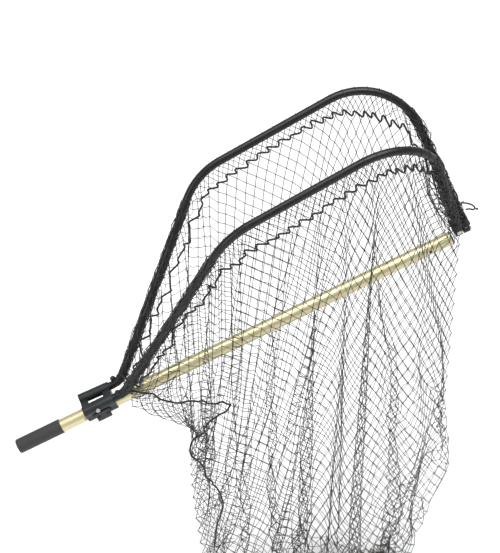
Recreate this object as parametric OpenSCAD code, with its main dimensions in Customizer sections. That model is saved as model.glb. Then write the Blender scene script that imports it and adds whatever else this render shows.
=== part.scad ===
// Folding landing net: a two-piece hoop hinged on a sliding head, a one-piece handle tube
// and a deep knotted net bag. The head is drawn in its stowed place, beside the grip, so the
// handle tube lies along the hoop. The two half hoops are drawn partly folded up.
// Origin: middle of the grip, on the handle's axis. +Z up, X towards the hoop's tip.

/* [Handle] */
// Tilt of the handle above level, in degrees
pole_tilt = 21.25; // [0:0.25:40]
// Length of the handle, from the grip's butt to the tube's far end
pole_l = 950; // [800:10:1200]
// Outer diameter of the handle tube
pole_d = 27; // [22:0.5:32]
// Wall of the handle tube
pole_wall = 1.5; // [1:0.1:3]
// Length of the grip
grip_l = 96; // [80:1:140]
// Thickness of the grip over the tube
grip_wall = 1.5; // [1:0.1:4]
// Thickness of the grip's closed butt
grip_butt = 5; // [3:0.5:10]

/* [Head] */
// Bare tube left between the grip and the stowed head
stow_gap = 54; // [40:1:120]
// Length of the head's barrels and sleeve
head_l = 64; // [50:1:90]
// Half the spacing of the two barrels
barrel_y = 21; // [18:0.5:30]
// Height of the barrels' middle above the handle's axis
barrel_z = 22; // [20:0.5:30]
// Wall of each barrel
barrel_wall = 1.7; // [1.5:0.1:3]
// Wall of the plastic bush in each barrel
bush_wall = 0.75; // [0.6:0.05:2]
// Wall of the sleeve round the handle
sleeve_wall = 2.2; // [1.8:0.1:4]
// Wall of the two bushes in the sleeve
sleeve_bush_wall = 1.2; // [1:0.1:2]
// Length of each sleeve bush
sleeve_bush_l = 12; // [8:1:20]

/* [Hoop] */
// Outer diameter of the hoop tube
tube_d = 16; // [13:0.5:19]
// Wall of the hoop tube
tube_wall = 1.6; // [1:0.1:2.5]
// Angle of each half hoop from upright, as stored
fold = 19.5; // [10:0.5:60]
// Distance from the barrels' middle to the hoop's tip, along the handle
hoop_l = 795; // [650:5:950]
// Height of the tip hinge above the handle's axis
tip_z = 5; // [0:0.5:12]
// Straight root in front of the barrel's middle
root_l = 56; // [50:1:70]
// Distance of the rear corner from the barrel, along the handle
rear_x = 361; // [320:1:400]
// Reach of the rear corner from the hinge line
rear_w = 322; // [260:1:360]
// Distance from the front corner back to the tip
front_dx = 15; // [5:1:40]
// Reach of the front corner from the hinge line
front_w = 363; // [280:1:400]
// Bend radius at the root
root_r = 45; // [35:1:60]
// Bend radius at the rear corner
rear_r = 138; // [90:1:160]
// Bend radius at the front corner
front_r = 130; // [90:1:150]

/* [Tip hinge] */
// Diameter of the tip pin
tip_pin_d = 6; // [4:0.5:8]
// Radial room round the tip pin in the far knuckle
tip_play = 1.0; // [0.9:0.1:1.5]
// Length of each knuckle along the pin
knuckle_l = 14; // [10:0.5:16]
// Outer diameter of the knuckles
knuckle_d = 15; // [13:0.5:18]

/* [Latch] */
// Width of the latch's pull tab along the handle
tab_l = 30; // [26:1:34]
// Height of the pull tab
tab_h = 21; // [18:0.5:24]
// Thickness of the pull tab
tab_t = 7.5; // [7:0.5:10]
// Diameter of the lock pin
lock_pin_d = 6; // [4:0.5:8]
// Diameter of the tab's two guide pins
guide_d = 3; // [2.5:0.5:4]
// Diameter of the stop button
button_d = 6.5; // [5:0.5:9]
// Height that the stop button stands above the tube
button_h = 2.5; // [1.5:0.1:4]

/* [Net] */
// Height of the bag's floor under the origin
bag_drop = 520; // [300:10:700]
// Thickness of the bag's panels
net_t = 2; // [1:0.5:5]
// Room between the hoop tube and the bag's top edge
net_gap = 5; // [4:0.5:10]

/* [Hidden] */
$fn = 64;
eps = 0.02;

NEAR = -1;
FAR = 1;
black = "#2b2a2c";
gold = "#d9d3a0";
steel = "#b5b5ae";

// places along the handle, from the butt of the grip
head_x0 = grip_l + stow_gap;
head_x1 = head_x0 + head_l;
head_xm = (head_x0 + head_x1) / 2;
pole_r = pole_d / 2;
pole_bore_r = pole_r - pole_wall;
run_gap = 0.15;             // radial room of the sleeve bushes on the handle
bush_gap = 0.05;            // radial room of the hoop tube in its bush
bush_in_r = pole_r + run_gap;
bush_out_r = bush_in_r + sleeve_bush_wall;
sleeve_r = bush_out_r + sleeve_wall;
tube_r = tube_d / 2;
barrel_bush_in_r = tube_r + bush_gap;
barrel_bush_out_r = barrel_bush_in_r + bush_wall;
barrel_r = barrel_bush_out_r + barrel_wall;

// one half hoop in its own plane: [distance along the hinge line, reach from it]
line_l = norm([hoop_l, barrel_y, barrel_z - tip_z]);
line_yaw = atan2(barrel_y, hoop_l);
line_pitch = atan2(barrel_z - tip_z, hoop_l);
bow_dx = tube_r + 0.5;      // the two bows pass side by side at the tip
tube_end_w = knuckle_d / 2 - 1.5;
root_back = head_l / 2 - 3; // the root ends a little inside the barrel
root_room = 24;             // and its first bend starts outside the barrel
root_x = max(root_l, head_l / 2 + root_room);
plug_r = tube_r - tube_wall - 0.05;
knuckle_run = max(knuckle_l, 2 * plug_r + 1);

// the latch's pull tab stands off the near side of the sleeve, under the near barrel
tab_stand_off = 2.4;        // room to drop by the tube's wall when the lock pin finds its hole
tab_in = sleeve_r + tab_stand_off;
tab_top = barrel_z - barrel_r - 2;
tab_xm = head_xm + 1;
lock_x = tab_xm;
guide_x = [tab_xm - tab_l / 3, tab_xm + tab_l / 3];
well_d = guide_d + 4;       // each guide pin's spring sits in a well in the tab
well_floor = 1.6;
guide_head_t = 1.2;
coil_wire = 0.6;
coil_turns = 4;
button_x = head_x0 - button_d / 2 - 0.5;
slide_travel = pole_l - 17 - head_x1;

// ---- places ----

module on_handle() { rotate([0, -pole_tilt, 0]) translate([-grip_l / 2, 0, 0]) children(); }

module on_hinge_line(side)
    on_handle()
        translate([head_xm, side * barrel_y, barrel_z])
            rotate([0, line_pitch, -side * line_yaw]) children();

module on_half_hoop(side) on_hinge_line(side) rotate([-side * fold, 0, 0]) children();

function turn_x(p, a) = [p.x, p.y * cos(a) - p.z * sin(a), p.y * sin(a) + p.z * cos(a)];
function turn_y(p, a) = [p.x * cos(a) + p.z * sin(a), p.y, -p.x * sin(a) + p.z * cos(a)];
function turn_z(p, a) = [p.x * cos(a) - p.y * sin(a), p.x * sin(a) + p.y * cos(a), p.z];
// a point of the handle's frame, and a point of a half hoop's plane, in the part's frame
function of_handle(p) = turn_y(p - [grip_l / 2, 0, 0], -pole_tilt);
function of_hoop(side, a, w) =
    of_handle([head_xm, side * barrel_y, barrel_z]
        + turn_z(turn_y(turn_x([a, 0, w], -side * fold), line_pitch), -side * line_yaw));

// ---- bent tube ----

function unit(v) = v / norm(v);
function angle_of(v) = atan2(v.y, v.x);
function bend_turn(p, q, r) = angle_of(r - q) - angle_of(q - p);
function bend_back(p, q, r, rad) = rad * tan(abs(bend_turn(p, q, r)) / 2);
function bend_start(p, q, r, rad) = q - unit(q - p) * bend_back(p, q, r, rad);
function bend_end(p, q, r, rad) = q + unit(r - q) * bend_back(p, q, r, rad);
function bend_middle(p, q, r, rad) =
    let (out = unit(unit(q - p) - unit(r - q)))
    q - out * rad * (1 / cos(bend_turn(p, q, r) / 2) - 1);

// the corners of a half hoop: the root, three bends and the end at the tip
function hoop_path(side) =
    let (dx = side * bow_dx)
    [[-root_back, 0], [root_x, 0], [rear_x, rear_w], [hoop_l - front_dx + dx, front_w],
        [line_l + dx, tube_end_w]];
bend_r = [0, root_r, rear_r, front_r];

module straight(p, q, r, bore)
    translate([p.x, 0, p.y]) rotate([0, 90 - angle_of(q - p), 0])
        difference() {
            cylinder(r = r, h = norm(q - p));
            if (bore > 0) translate([0, 0, -eps]) cylinder(r = bore, h = norm(q - p) + 2 * eps);
        }

module bend(p, q, s, rad, r, bore) {
    turn = bend_turn(p, q, s);
    left = turn > 0 ? 1 : -1;
    start = bend_start(p, q, s, rad);
    from = angle_of(q - p) - left * 90;
    centre = start - rad * [cos(from), sin(from)];
    translate([centre.x, 0, centre.y]) rotate([90, 0, 0])
        rotate([0, 0, left > 0 ? from : from + turn])
            rotate_extrude(angle = abs(turn))
                translate([rad, 0]) difference() {
                    circle(r = r);
                    if (bore > 0) circle(r = bore);
                }
}

// the bends stand a hair proud of the straights, and each straight runs a little into its bends
bend_proud = 0.05;
bend_lap = 0.5;
module hoop_tube(side) {
    path = hoop_path(side);
    last = len(path) - 1;
    bore = tube_r - tube_wall;
    color(black) on_half_hoop(side) difference() {
        union() {
            for (i = [1:last]) {
                along = unit(path[i] - path[i - 1]);
                from = i == 1 ? path[0]
                    : bend_end(path[i - 2], path[i - 1], path[i], bend_r[i - 1]) - bend_lap * along;
                to = i == last ? path[last]
                    : bend_start(path[i - 1], path[i], path[i + 1], bend_r[i]) + bend_lap * along;
                straight(from, to, tube_r, bore);
                if (i < last) bend(path[i - 1], path[i], path[i + 1], bend_r[i],
                    tube_r + bend_proud, bore - bend_proud);
            }
        }
        screw_groove();
        stop_hole(side);
        tip_rivet_hole(side);
    }
}

// ---- handle ----

module along_x(x, r, h) translate([x, 0, 0]) rotate([0, 90, 0]) cylinder(r = r, h = h);

module pole() color(gold) on_handle() difference() {
    along_x(grip_butt, pole_r, pole_l - grip_butt);
    along_x(grip_butt - eps, pole_bore_r, pole_l);
    translate([button_x, 0, 0]) rotate([90, 0, 0]) cylinder(d = button_d + 0.4, h = pole_r + 1);
    translate([lock_x + slide_travel, 0, 0]) rotate([90, 0, 0])
        cylinder(d = lock_pin_d + 0.6, h = pole_r + 1);
}

// the butt's rim is rounded
module grip() color("#454547") on_handle() {
    r = pole_r + grip_wall;
    round_r = 4;
    rotate([0, 90, 0]) rotate_extrude() difference() {
        union() {
            translate([0, round_r]) square([r, grip_l - round_r]);
            square([r - round_r, round_r + eps]);
            translate([r - round_r, round_r]) intersection() {
                circle(r = round_r);
                translate([0, -round_r]) square([round_r, round_r + eps]);
            }
        }
        translate([0, grip_butt]) square([pole_r, grip_l]);
    }
}

module pole_end_plug() color(black) on_handle() {
    along_x(pole_l, pole_r + 0.4, 3);
    along_x(pole_l - 10, pole_bore_r - 0.05, 10 + eps);
}

// a domed button that a leaf spring inside the tube holds out
module stop_button() color(gold) on_handle()
    translate([button_x, 0, 0]) rotate([90, 0, 0]) {
        translate([0, 0, pole_bore_r - 2.4]) cylinder(d = button_d + 2, h = 1.5);
        translate([0, 0, pole_bore_r - 1]) cylinder(d = button_d, h = pole_wall + button_h - 0.6);
        translate([0, 0, pole_r + button_h - 1.6 - eps])
            cylinder(d1 = button_d, d2 = button_d - 2.4, h = 1.6);
    }

module stop_button_spring() color(steel) on_handle() {
    leaf_t = 0.8;
    leaf_w = 7;
    reach = pole_bore_r - 2.6;
    translate([button_x, 0, -leaf_w / 2]) linear_extrude(leaf_w)
        polygon([[-5, -reach], [5, -reach], [34, 0], [6, reach], [4, reach],
            [4, reach - leaf_t], [31.5, 0], [4, -reach + leaf_t], [-5, -reach + leaf_t]]);
}

// ---- head ----

module barrel_shape(side, r, l) on_hinge_line(side) translate([-l / 2, 0, 0]) rotate([0, 90, 0])
    cylinder(r = r, h = l);

// a plate across the head: the barrels, the sleeve and what joins them
module head_rib(x, l) on_handle() translate([x, 0, 0]) rotate([90, 0, 90]) linear_extrude(l)
    polygon([[-barrel_y, barrel_z + 3], [barrel_y, barrel_z + 3], [barrel_y + 5, barrel_z - 4],
        [sleeve_r * 0.8, -sleeve_r * 0.5], [-sleeve_r * 0.8, -sleeve_r * 0.5],
        [-barrel_y - 5, barrel_z - 4]]);

rib_l = 12;
web_t = 5;
slot_l = 32;
slot_y = [-4, 10];

module along_y(x, from, to, d) on_handle() translate([x, -from, 0]) rotate([90, 0, 0])
    cylinder(d = d, h = to - from);

module head_block() color("#2f3234") difference() {
    union() {
        for (side = [NEAR, FAR]) barrel_shape(side, barrel_r, head_l);
        on_handle() along_x(head_x0, sleeve_r, head_l);
        head_rib(head_x0, rib_l);
        head_rib(head_x1 - rib_l, rib_l);
        on_handle() translate([head_x0, -barrel_y, barrel_z - web_t / 2])
            cube([head_l, 2 * barrel_y, web_t]);
        for (x = guide_x) along_y(x, bush_out_r, sleeve_r + 0.3, guide_d + 4);
    }
    for (side = [NEAR, FAR]) barrel_shape(side, barrel_bush_out_r, head_l + 12);
    on_handle() along_x(head_x0 - 1, bush_out_r, head_l + 2);
    on_handle() translate([head_x0 + rib_l + 3, slot_y[0], barrel_z - web_t])
        cube([slot_l, slot_y[1] - slot_y[0], 2 * web_t]);
    along_y(lock_x, 0, sleeve_r + 2, lock_pin_d + 0.6);
    for (x = guide_x) along_y(x, 0, sleeve_r + 2, guide_d);
    for (side = [NEAR, FAR]) {
        screw_shank(side);
        screw_head(side, 0.2);
    }
}

module sleeve_bushes() color("#d8d8d2") on_handle()
    for (x = [head_x0, head_x1 - sleeve_bush_l]) difference() {
        along_x(x, bush_out_r, sleeve_bush_l);
        along_x(x - 1, bush_in_r, sleeve_bush_l + 2);
    }

module barrel_bush(side) color("#1f1f20") difference() {
    barrel_shape(side, barrel_bush_out_r, head_l);
    barrel_shape(side, barrel_bush_in_r, head_l + 2);
    screw_shank(side);
}

// each barrel's set screw runs in a groove round the hoop's root and keeps it in
screw_a = -4;
screw_r = 2;
groove_depth = 0.6;
module screw_groove() translate([screw_a - 3, 0, 0]) rotate([0, 90, 0]) difference() {
    cylinder(r = tube_r + 1, h = 6);
    translate([0, 0, -1]) cylinder(r = tube_r - groove_depth, h = 8);
}
module at_screw(side) on_hinge_line(side) translate([screw_a, 0, 0])
    rotate([-side * 98, 0, 0]) children();
module screw_shank(side) at_screw(side) translate([0, 0, tube_r - groove_depth + 0.2])
    cylinder(r = screw_r, h = barrel_r - tube_r + groove_depth + 1);
// the head sits in a flat seat in the barrel, and the seat is wider by the play
seat_depth = 0.3;
head_r = 4.5;
module screw_head(side, play) at_screw(side) translate([0, 0, barrel_r - seat_depth])
    cylinder(r = head_r + play, h = 2.5);
module barrel_screws() color(steel) for (side = [NEAR, FAR]) difference() {
    union() {
        screw_shank(side);
        screw_head(side, 0);
    }
    at_screw(side) translate([-6, -0.5, barrel_r + 1.2]) cube([12, 1, 3]);
}

// ---- latch ----

// the tab's lower edge is undercut for a fingertip
module latch_tab() color("#4a484c") difference() {
    on_handle() translate([tab_xm - tab_l / 2, 0, tab_top - tab_h]) rotate([90, 0, 90])
        linear_extrude(tab_l) polygon([[-tab_in, tab_h], [-tab_in, 3], [-tab_in - 3, 0],
            [-tab_in - tab_t + 1, 0], [-tab_in - tab_t, 1], [-tab_in - tab_t, tab_h - 1],
            [-tab_in - tab_t + 1, tab_h]]);
    along_y(lock_x, tab_in - 1, tab_in + tab_t - 2, lock_pin_d);
    for (x = guide_x) {
        along_y(x, tab_in - 1, tab_in + tab_t + 1, guide_d + 0.3);
        along_y(x, tab_in + well_floor, tab_in + tab_t + 1, well_d);
    }
}

// pressed into the tab; its nose rides on the handle tube until it meets the lock hole
module lock_pin() color(steel) along_y(lock_x, pole_r + 0.3, tab_in + tab_t - 2, lock_pin_d);

// pressed into the sleeve; their heads hold the springs
module latch_guide_pins() color(steel) for (x = guide_x) {
    along_y(x, bush_out_r, tab_in + tab_t, guide_d);
    along_y(x, tab_in + tab_t - guide_head_t / 2, tab_in + tab_t + guide_head_t / 2, well_d - 0.6);
}

// two coil springs, each a stack of close rings, press the tab against the handle
module latch_springs() color(steel) for (x = guide_x)
    on_handle() translate([x, -tab_in - well_floor - coil_wire / 2 - 0.1, 0]) rotate([90, 0, 0])
        rotate_extrude() for (turn = [0:coil_turns - 1])
            translate([guide_d / 2 + 0.35 + coil_wire / 2, turn * coil_wire * 0.98])
                circle(d = coil_wire);

// ---- what is on the hoop ----

// the arm stop stands on the inner side of the root bend
stop_turn = 15;
stop_r = 5.5;
stop_shank_r = 2.5;
stop_seat = 0.6;            // a flat stop on the hollow side of the bend stands off it by this
module on_root_bend(side) {
    path = hoop_path(side);
    start = bend_start(path[0], path[1], path[2], root_r);
    translate([start.x, 0, root_r]) rotate([0, -stop_turn, 0]) translate([0, 0, -root_r]) children();
}
module stop_hole(side) on_root_bend(side) cylinder(r = stop_shank_r, h = tube_d);
module arm_stop(side) color(black) on_half_hoop(side) on_root_bend(side) {
    translate([0, 0, tube_r - tube_wall - 1]) cylinder(r = stop_shank_r, h = tube_wall + 3);
    translate([0, 0, tube_r + stop_seat]) cylinder(r = stop_r, h = 4.5);
    translate([0, 0, tube_r + stop_seat + 4.5 - eps]) cylinder(r1 = stop_r, r2 = stop_r - 2, h = 2.5);
}

rivet_w = knuckle_d / 2 + 1.5;
module at_tip(side) on_half_hoop(side) translate([line_l, 0, 0]) children();
// the bow leans a little at its end, and the knuckle's plug leans with it
function end_lean(side) = let (path = hoop_path(side)) atan2(path[3].x - path[4].x, path[3].y - path[4].y);
module at_tube_end(side)
    translate([side * bow_dx, 0, tube_end_w]) rotate([0, end_lean(side), 0]) children();
module rivet_axis(side) translate([side * bow_dx, 0, rivet_w]) rotate([90, 0, 0]) children();
module tip_rivet_hole(side) translate([line_l, 0, 0]) rivet_axis(side) cylinder(r = 2, h = 40, center = true);

module tip_knuckle(side) {
    play = side == FAR ? tip_play : 0;
    color(black) at_tip(side) difference() {
        union() {
            at_tube_end(side) translate([0, 0, -2]) cylinder(r = plug_r, h = 28);
            translate([side * bow_dx - knuckle_run / 2, 0, 0]) rotate([0, 90, 0])
                cylinder(d = knuckle_d, h = knuckle_run);
        }
        translate([-30, 0, 0]) rotate([0, 90, 0]) cylinder(r = tip_pin_d / 2 + play, h = 60);
        rivet_axis(side) cylinder(r = 2, h = 40, center = true);
        // the tube's end sits on the knuckle's shoulder
        at_tube_end(side) translate([0, 0, -0.05]) difference() {
            cylinder(r = tube_r + 3, h = 30);
            translate([0, 0, -1]) cylinder(r = plug_r, h = 40);
        }
    }
}

module tip_rivet(side) color(steel) at_tip(side) rivet_axis(side) {
    cylinder(r = 2, h = 2 * tube_r + 1, center = true);
    for (end = [-1, 1]) translate([0, 0, end * (tube_r + 0.8)])
        cylinder(r = 5.2, h = 1.4, center = true);
}

head_t = 2;
module tip_pin() color(steel) at_tip(NEAR) {
    reach = bow_dx + knuckle_run / 2;
    translate([-reach - eps, 0, 0]) rotate([0, 90, 0]) cylinder(d = tip_pin_d, h = 2 * reach + 1.7);
    translate([-reach - head_t, 0, 0]) rotate([0, 90, 0]) cylinder(r = 5, h = head_t);
    translate([reach + 1.3, 0, 0]) rotate([0, 90, 0]) cylinder(r = 5.5, h = head_t);
}

// ---- tie cord at the tip: out of the lashing, to its knot and back ----

cord_d = 3.2;
cord_route = [[998, 0, 64], [1002, -1, 63], [1006, -2, 60], [1010, -2, 56], [1013, -2, 52],
    [1015, -2, 48], [1016, -1, 44], [1016, 0, 41], [1015, 2, 38], [1012, 3, 37], [1009, 3, 40],
    [1006, 2, 43], [1003, 1, 45], [1000, 0, 47], [998, 0, 47]];
knot_at = [1016, 1, 38];
cord_sides = 8;

function ring(route, i) =
    let (last = len(route) - 1, along = unit(route[min(i + 1, last)] - route[max(i - 1, 0)]),
        side = unit(cross(along, [0, 1, 0])), up = cross(side, along))
    [for (k = [0:cord_sides - 1]) let (t = 360 * k / cord_sides)
        route[i] + cord_d / 2 * (cos(t) * side + sin(t) * up)];

module tip_cord() color(black) on_handle() {
    n = len(cord_route);
    points = [for (i = [0:n - 1]) each ring(cord_route, i)];
    walls = [for (i = [0:n - 2], k = [0:cord_sides - 1])
        let (a = i * cord_sides + k, b = i * cord_sides + (k + 1) % cord_sides)
        each [[a, b, b + cord_sides], [a, b + cord_sides, a + cord_sides]]];
    ends = [[for (k = [cord_sides - 1:-1:0]) k],
        [for (k = [0:cord_sides - 1]) (n - 1) * cord_sides + k]];
    polyhedron(points, concat(walls, ends));
}

module tip_cord_knot() color(black) on_handle() translate(knot_at + [3.6, 0, -2]) sphere(d = 6, $fn = 48);

// ---- net bag: upright panels under the hoop, a sloping rear, a rear wall and a floor ----

function rim(side, k) =
    let (path = hoop_path(side))
    k == 0 ? of_hoop(side, root_x + 12, 0)
    : k == 1 ? let (p = bend_start(path[1], path[2], path[3], rear_r)) of_hoop(side, p.x, p.y)
    : k == 2 ? let (p = bend_end(path[1], path[2], path[3], rear_r)) of_hoop(side, p.x, p.y)
    : k == 3 ? let (p = bend_start(path[2], path[3], path[4], front_r)) of_hoop(side, p.x, p.y)
    : k == 4 ? let (p = bend_middle(path[2], path[3], path[4], front_r)) of_hoop(side, p.x, p.y)
    : k == 5 ? let (p = bend_end(path[2], path[3], path[4], front_r)) of_hoop(side, p.x, p.y)
    : of_hoop(side, line_l + side * bow_dx, 0) + [6, side * 2.5, -tip_room];

floor_z = -bag_drop;
tip_room = 25;              // the bag's front edge dips under the tip hinge, clear of its swing
bow_room = 2.2;             // and it keeps this many times the usual room from the steep bows
shoulder_room = 1.3;        // as the shoulders of the bows do by this much
// the rear slope runs from under the head down to the top of the rear wall
slope_top = of_handle([head_x1 + 18, 0, -pole_r - 12]);
wall_x = rim(NEAR, 1).x;
rear_fall = 0.65;           // drop of the rear slope for each millimetre along it
slope_low = [wall_x, 0, slope_top.z - rear_fall * (wall_x - slope_top.x)];
function slope_z(x) = slope_top.z + (slope_low.z - slope_top.z) * (x - slope_top.x) / (wall_x - slope_top.x);

// an upright slab between two rim points, with its top under the tube
module net_panel(side, k) {
    p = rim(side, k);
    q = rim(side, k + 1);
    run = norm([q.x - p.x, q.y - p.y]);
    end_gap = net_t;
    rise = (q.z - p.z) / run;
    room = (tube_r + net_gap) * (k == 5 ? bow_room : k == 4 ? shoulder_room : 1) / cos(atan(rise));
    top0 = p.z - room + rise * end_gap;
    top1 = q.z - room - rise * end_gap;
    low0 = k == 0 ? slope_z(p.x) + net_t + 2 : floor_z + net_t + 1;
    low1 = k == 0 ? slope_z(q.x) + net_t + 2 : floor_z + net_t + 1;
    color("#3a3a3c") translate([p.x, p.y, 0]) rotate([0, 0, atan2(q.y - p.y, q.x - p.x)])
        translate([0, net_t / 2, 0]) rotate([90, 0, 0]) linear_extrude(net_t)
            polygon([[end_gap, low0], [run - end_gap, low1], [run - end_gap, top1], [end_gap, top0]]);
}

module net_rear_slope() color("#3a3a3c") {
    drop = slope_top.z - slope_low.z;
    l = norm([wall_x - slope_top.x, drop]) - 3;
    y0 = abs(rim(NEAR, 0).y);
    y1 = abs(rim(NEAR, 1).y);
    translate(slope_top) rotate([0, atan2(drop, wall_x - slope_top.x), 0])
        linear_extrude(net_t) polygon([[0, -y0], [l, -y1], [l, y1], [0, y0]]);
}

module net_rear_wall() color("#3a3a3c") {
    half = abs(rim(NEAR, 1).y) - 2 * net_t;
    top = slope_low.z - 2;
    translate([wall_x, -half, floor_z + net_t + 1]) cube([net_t, 2 * half, top - floor_z - net_t - 1]);
}

module net_bottom() color("#3a3a3c") translate([0, 0, floor_z]) linear_extrude(net_t)
    polygon(concat([for (k = [1:6]) let (p = rim(NEAR, k)) [p.x, p.y]],
        [for (k = [6:-1:1]) let (p = rim(FAR, k)) [p.x, p.y]]));

pole();
grip();
pole_end_plug();
stop_button();
stop_button_spring();
head_block();
sleeve_bushes();
barrel_bush(NEAR);  // near_barrel_bush
barrel_bush(FAR);  // far_barrel_bush
barrel_screws();
latch_tab();
lock_pin();
latch_guide_pins();
latch_springs();
hoop_tube(NEAR);  // near_hoop_tube
hoop_tube(FAR);  // far_hoop_tube
arm_stop(NEAR);  // near_arm_stop
arm_stop(FAR);  // far_arm_stop
tip_knuckle(NEAR);  // near_tip_knuckle
tip_knuckle(FAR);  // far_tip_knuckle
tip_rivet(NEAR);  // near_tip_rivet
tip_rivet(FAR);  // far_tip_rivet
tip_pin();
tip_cord();
tip_cord_knot();
net_panel(NEAR, 0);  // net_near_arm
net_panel(NEAR, 1);  // net_near_rear_corner
net_panel(NEAR, 2);  // net_near_side
net_panel(NEAR, 3);  // net_near_front_corner
net_panel(NEAR, 4);  // net_near_front_shoulder
net_panel(NEAR, 5);  // net_near_front
net_panel(FAR, 0);  // net_far_arm
net_panel(FAR, 1);  // net_far_rear_corner
net_panel(FAR, 2);  // net_far_side
net_panel(FAR, 3);  // net_far_front_corner
net_panel(FAR, 4);  // net_far_front_shoulder
net_panel(FAR, 5);  // net_far_front
net_rear_slope();
net_rear_wall();
net_bottom();
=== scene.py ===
# %% [markdown]
# # A landing net with folding hoops
#
# The object is a long-handled landing net. A pale gold aluminium pole carries a
# moulded head that slides along it. Two black half hoops hinge on the head and
# fold up over the pole like the covers of a book, and a deep bag of knotted
# black netting hangs between them. The hard parts arrive as a fixed frame in
# metres. This file gives them their finishes, and makes everything that is soft:
# the netting, the ropes in its hem, the gathers on the tubes and the tie cord.

# %% Load the frame
import bpy
import math
import numpy as np
from mathutils import Matrix, Vector


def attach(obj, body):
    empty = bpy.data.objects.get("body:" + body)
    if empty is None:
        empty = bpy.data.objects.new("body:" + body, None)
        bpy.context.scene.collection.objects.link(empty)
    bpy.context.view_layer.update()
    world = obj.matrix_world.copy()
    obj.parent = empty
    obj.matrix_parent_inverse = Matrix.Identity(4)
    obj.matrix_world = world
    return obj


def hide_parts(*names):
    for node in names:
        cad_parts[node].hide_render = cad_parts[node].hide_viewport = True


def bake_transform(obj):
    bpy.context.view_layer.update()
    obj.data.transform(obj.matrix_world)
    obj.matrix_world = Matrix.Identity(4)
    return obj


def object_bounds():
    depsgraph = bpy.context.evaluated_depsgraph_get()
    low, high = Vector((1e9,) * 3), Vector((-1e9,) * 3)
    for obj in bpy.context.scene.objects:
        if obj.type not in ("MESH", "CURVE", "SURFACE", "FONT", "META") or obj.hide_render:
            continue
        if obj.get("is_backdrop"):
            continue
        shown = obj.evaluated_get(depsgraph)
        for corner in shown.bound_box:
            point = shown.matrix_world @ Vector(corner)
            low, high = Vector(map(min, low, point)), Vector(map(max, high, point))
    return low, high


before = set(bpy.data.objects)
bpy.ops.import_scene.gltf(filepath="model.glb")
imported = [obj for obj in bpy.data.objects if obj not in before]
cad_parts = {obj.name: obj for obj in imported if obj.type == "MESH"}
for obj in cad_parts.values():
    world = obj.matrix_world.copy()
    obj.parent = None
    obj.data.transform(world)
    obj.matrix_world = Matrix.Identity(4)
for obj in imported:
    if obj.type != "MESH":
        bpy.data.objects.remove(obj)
cad_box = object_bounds()
MM = 0.001
print("parts in the frame:", len(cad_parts))

# %% [markdown]
# The camera comes first. It stands a little to the left of the net and well above
# it, looking down a little over a third of a right angle. A long lens from about
# three and a half metres away keeps the two hoops almost the same size. Its place
# and its direction are written out as numbers, and the other two axes follow from
# them.

# %% The camera
CAMERA_AT = Vector((-0.2775, -2.6514, 2.1289))
LOOKS_ALONG = Vector((0.21487, 0.80476, -0.55334)).normalized()
LENS_MM = 110.93

camera_data = bpy.data.cameras.new("camera")
camera_data.lens = LENS_MM
camera = bpy.data.objects.new("camera", camera_data)
bpy.context.scene.collection.objects.link(camera)
right = LOOKS_ALONG.cross(Vector((0, 0, 1))).normalized()
above = right.cross(LOOKS_ALONG)
turned = Matrix((right, above, -LOOKS_ALONG)).transposed()
camera.matrix_world = Matrix.Translation(CAMERA_AT) @ turned.to_4x4()
bpy.context.scene.camera = camera
print("camera at", tuple(CAMERA_AT), "lens", LENS_MM, "mm")

# %% [markdown]
# Sizes that several pieces share are kept together. The handle leans up from the
# floor, so a point that is easy to say along the handle has to be turned into
# the frame by the same lean. Each half hoop lies in a plane of its own, which
# runs from its hinge to the tip and leans outwards by the fold.

# %% Shared sizes
LEAN = math.radians(21.25)
HANDLE_BACK = 0.048
HINGE_X, HINGE_Y, HINGE_Z = 0.182, 0.021, 0.022
TIP_X, TIP_Z = 0.977, 0.005
FOLD = math.radians(19.5)
TUBE_R = 0.0080
POLE_R = 0.0135
NEAR, FAR = -1, 1
HOOP_BODY = {NEAR: "near_hoop", FAR: "far_hoop"}
SIDE_NAME = {NEAR: "near", FAR: "far"}


def on_handle(x, y, z):
    """A point given along, across and above the handle, in the frame."""
    x -= HANDLE_BACK
    return np.array([x * math.cos(LEAN) - z * math.sin(LEAN), y,
                     x * math.sin(LEAN) + z * math.cos(LEAN)])


def unit(v):
    return v / np.linalg.norm(v)


HINGE = {s: on_handle(HINGE_X, s * HINGE_Y, HINGE_Z) for s in (NEAR, FAR)}
TIP = on_handle(TIP_X, 0, TIP_Z)
print("hinge to tip:", round(float(np.linalg.norm(TIP - HINGE[NEAR])), 4), "m")

# %% [markdown]
# Twine, rope and cord are all the same shape: a round line that follows some
# points. One helper builds them from rings of corners, many lines at a time,
# with each ring turned as little as possible from the one before it, so that
# the line never twists. The ends are closed. It also writes a UV map that counts
# turns round the line and metres along it, which the twist of the yarn follows.

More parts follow.
